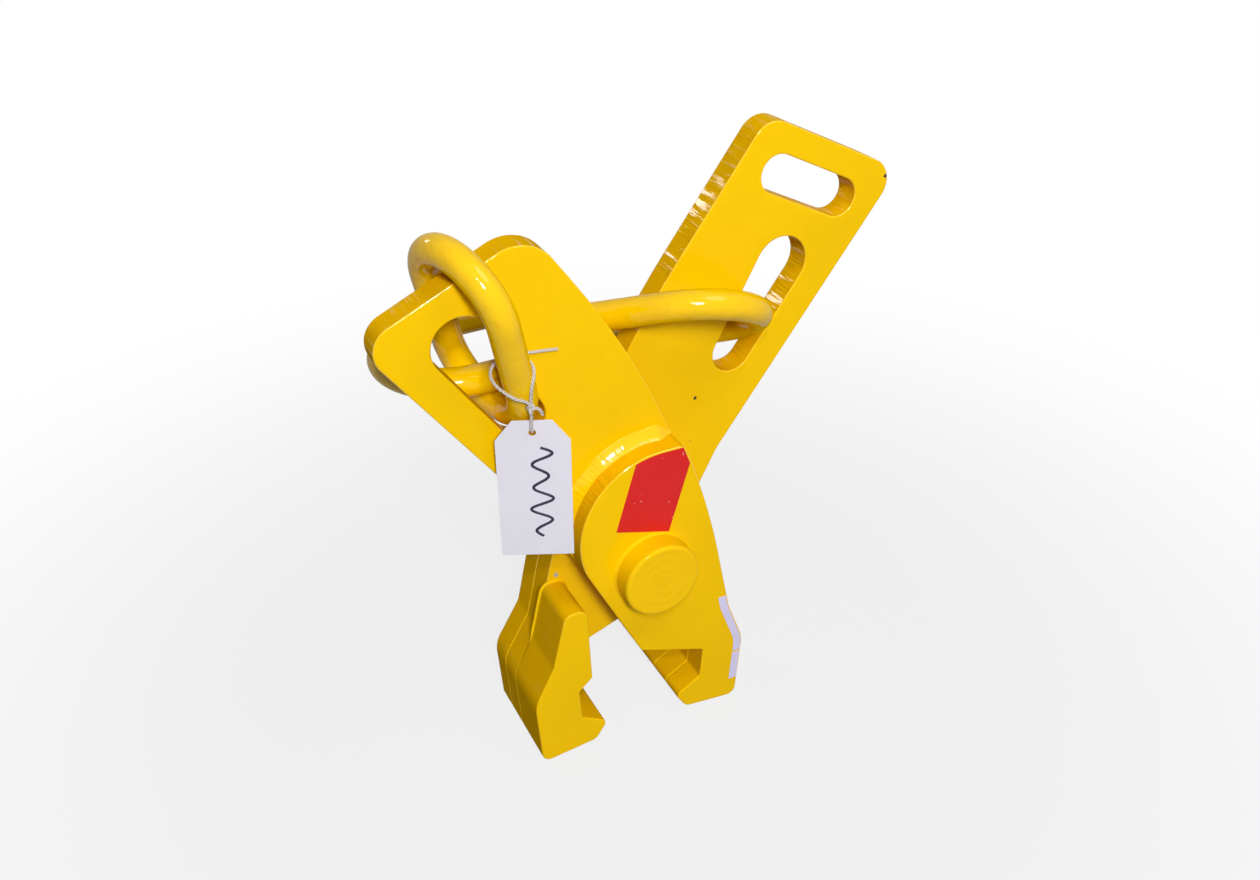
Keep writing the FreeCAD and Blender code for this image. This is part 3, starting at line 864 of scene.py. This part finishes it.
class TONGS_OT_string(bpy.types.Operator):
    """Twist the string along its route, with its knot"""
    bl_idname = "tongs.string"
    bl_label = "String"

    def execute(self, context):
        settings = context.scene.tongs_tag
        radius = settings.string_diameter / 2
        points = smooth_line([from_pivot(point) for point in STRING_ROUTE])
        length = sum((b - a).length for a, b in zip(points, points[1:]))

        material, net, shader, where = start_material("string_fibre")
        fuzz = net.noise(where["Object"], STRING_FUZZ, 3.0)
        tone = net.mix(fuzz, rgba(settings.string), rgba(settings.string, STRING_DARK))
        net.fill(shader, {"Base Color": tone, "Roughness": net.spread(fuzz, 0.3, 0.7, *STRING_ROUGHNESS)})
        bump(net, shader, fuzz, FUZZ_BUMP)

        bm = bmesh.new()
        twist_along(bm, points, radius, settings.lay)
        piece = add_piece("string_twist", as_mesh(bm, "string_twist"), material, "ring")
        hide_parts("tag_string")
        tied = add_piece("string_knot", knot_mesh(radius, settings.lay), material, "ring")
        tuple(points[0])
        [tuple(p) for p in points]
        return {"FINISHED"}


def lamp(name, place, size, power):
    data = bpy.data.lights.new(name, "AREA")
    data.shape = "DISK"
    data.size = size
    data.energy = power
    thing = bpy.data.objects.new(name, data)
    thing.location = place
    thing.rotation_euler = (Vector(AIM) - Vector(place)).to_track_quat("-Z", "Y").to_euler()
    bpy.context.scene.collection.objects.link(thing)


def seen_plain(net):
    """1 for what the camera sees straight, mirrored or through glass."""
    path = net.add("ShaderNodeLightPath").outputs
    mirrored = net.math("ADD", path["Is Camera Ray"], path["Is Glossy Ray"])
    return net.math("ADD", mirrored, path["Is Transmission Ray"], True)


class TONGS_OT_stage(bpy.types.Operator):
    """Set the floor, the lights and the camera"""
    bl_idname = "tongs.stage"
    bl_label = "Stage"

    def execute(self, context):
        settings = context.scene.tongs_stage
        bm = bmesh.new()
        bmesh.ops.create_grid(bm, x_segments=1, y_segments=1, size=FLOOR_REACH)
        mesh = as_mesh(bm, "floor")
        floor = bpy.data.objects.new("floor", mesh)
        context.scene.collection.objects.link(floor)
        material, net, shader, where = start_material("pale_floor")
        net.fill(shader, {"Base Color": rgba(settings.floor), "Roughness": FLOOR_ROUGHNESS,
                          "Specular IOR Level": 0.0})
        glow = net.add("ShaderNodeEmission", {"Color": WHITE, "Strength": 1.0})
        away = net.vectors("LENGTH", where["Object"])
        plain = net.math("MULTIPLY", seen_plain(net),
                         net.spread(away, WHITE_FROM, WHITE_BEYOND, settings.haze, 1.0))
        both = net.add("ShaderNodeMixShader", {0: plain, 1: shader.outputs[0], 2: glow.outputs[0]})
        net.fill(net.tree.nodes["Material Output"], {"Surface": both.outputs[0]})
        mesh.materials.append(material)

        world = context.scene.world or bpy.data.worlds.new("studio")
        context.scene.world = world
        world.use_nodes = True
        net = Net(world.node_tree)
        level = net.add("ShaderNodeMapRange", {0: seen_plain(net), 3: settings.world, 4: 1.0})
        net.fill(net.tree.nodes["Background"], {"Color": WHITE, "Strength": level.outputs[0]})

        lamp("key", *KEY_LAMP, settings.key)
        lamp("flash", *FLASH_LAMP, settings.flash)
        lamp("overhead", *TOP_LAMP, settings.fill)
        lamp("back", *BACK_LAMP, settings.back)

        data = bpy.data.cameras.new("camera")
        data.sensor_fit = "HORIZONTAL"
        data.sensor_width = SENSOR
        data.lens = SENSOR * FOCAL_PIXELS / IMAGE_PIXELS
        data.clip_start = NEAREST
        camera = bpy.data.objects.new("camera", data)
        context.scene.collection.objects.link(camera)
        ahead = Vector(CAMERA_AHEAD).normalized()
        up = Vector(CAMERA_RIGHT).normalized().cross(ahead).normalized()
        right = ahead.cross(up).normalized()
        turn = Matrix((right, up, -ahead)).transposed().to_4x4()
        camera.matrix_world = Matrix.Translation(from_pivot(CAMERA_PLACE)) @ turn
        context.scene.camera = camera
        context.scene.view_settings.view_transform = "Standard"
        return {"FINISHED"}


STEPS = (TONGS_OT_plates, TONGS_OT_welds, TONGS_OT_bars, TONGS_OT_pivot, TONGS_OT_stickers, TONGS_OT_tag,
         TONGS_OT_string, TONGS_OT_stage)
SETTINGS = {"tongs_paint": PaintSettings, "tongs_weld": WeldSettings, "tongs_tag": TagSettings,
            "tongs_stage": StageSettings}


class TONGS_PT_panel(bpy.types.Panel):
    """Settings and steps of the tongs"""
    bl_label = "Tongs"
    bl_space_type = "VIEW_3D"
    bl_region_type = "UI"
    bl_category = "Tongs"

    def draw(self, context):
        for name, kind in SETTINGS.items():
            for setting in kind.__annotations__:
                self.layout.prop(getattr(context.scene, name), setting)
        for step in STEPS:
            self.layout.operator(step.bl_idname)


CLASSES = (*SETTINGS.values(), *STEPS, TONGS_PT_panel)


def register():
    for kind in CLASSES:
        bpy.utils.register_class(kind)
    for name, kind in SETTINGS.items():
        setattr(bpy.types.Scene, name, PointerProperty(type=kind))


def unregister():
    for name in SETTINGS:
        delattr(bpy.types.Scene, name)
    for kind in reversed(CLASSES):
        bpy.utils.unregister_class(kind)


def main():
    register()
    for step in STEPS:
        group_name, action = step.bl_idname.split(".")
        getattr(getattr(bpy.ops, group_name), action)()


if __name__ == "__main__":
    main()
